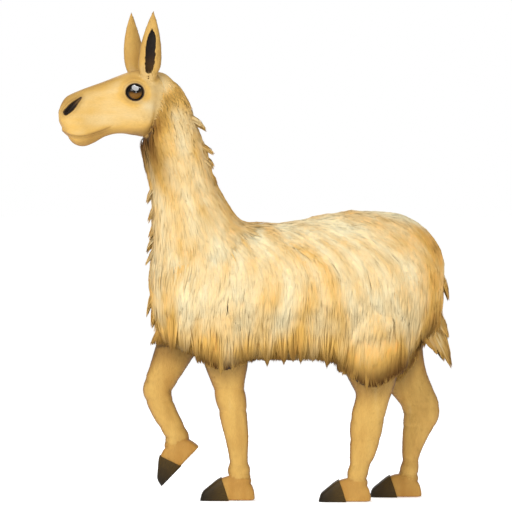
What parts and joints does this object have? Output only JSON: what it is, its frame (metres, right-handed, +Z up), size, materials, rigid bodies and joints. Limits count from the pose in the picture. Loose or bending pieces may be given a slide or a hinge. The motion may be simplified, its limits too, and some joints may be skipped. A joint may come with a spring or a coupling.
{
  "type": "llama model",
  "caption": "Life-size still model of a shaggy cream llama, walking with its right forefoot lifted, on its three other feet.",
  "frame": {"origin": "on the floor, under the middle of the whole model's length and width", "axes": "+X towards the tail (the head points to -X), +Y towards the animal's right side, +Z up; the longest side of the whole is its height, the shortest its width"},
  "size_m": [1.4608, 0.475, 1.8022],
  "materials": {
    "coat": "long shaggy cream wool in hanging locks",
    "short_coat": "short smooth tan hair of the face, ears and legs",
    "nail": "dark brown horn, faintly glossy",
    "eye": "wet black-brown eye"
  },
  "bodies": {
    "root": {"torso": "coat", "neck": "coat", "tail": "coat", "head": "short_coat", "ear_left": "short_coat", "ear_right": "short_coat", "eye_left": "eye", "eye_right": "eye", "leg_fore_left_upper": "short_coat", "leg_fore_left_lower": "short_coat", "foot_fore_left": "short_coat", "nail_fore_left_inner": "nail", "nail_fore_left_outer": "nail", "leg_fore_right_upper": "short_coat", "leg_fore_right_lower": "short_coat", "foot_fore_right": "short_coat", "nail_fore_right_inner": "nail", "nail_fore_right_outer": "nail", "leg_hind_left_upper": "short_coat", "leg_hind_left_lower": "short_coat", "foot_hind_left": "short_coat", "nail_hind_left_inner": "nail", "nail_hind_left_outer": "nail", "leg_hind_right_upper": "short_coat", "leg_hind_right_lower": "short_coat", "foot_hind_right": "short_coat", "nail_hind_right_inner": "nail", "nail_hind_right_outer": "nail"}
  },
  "joints": []
}
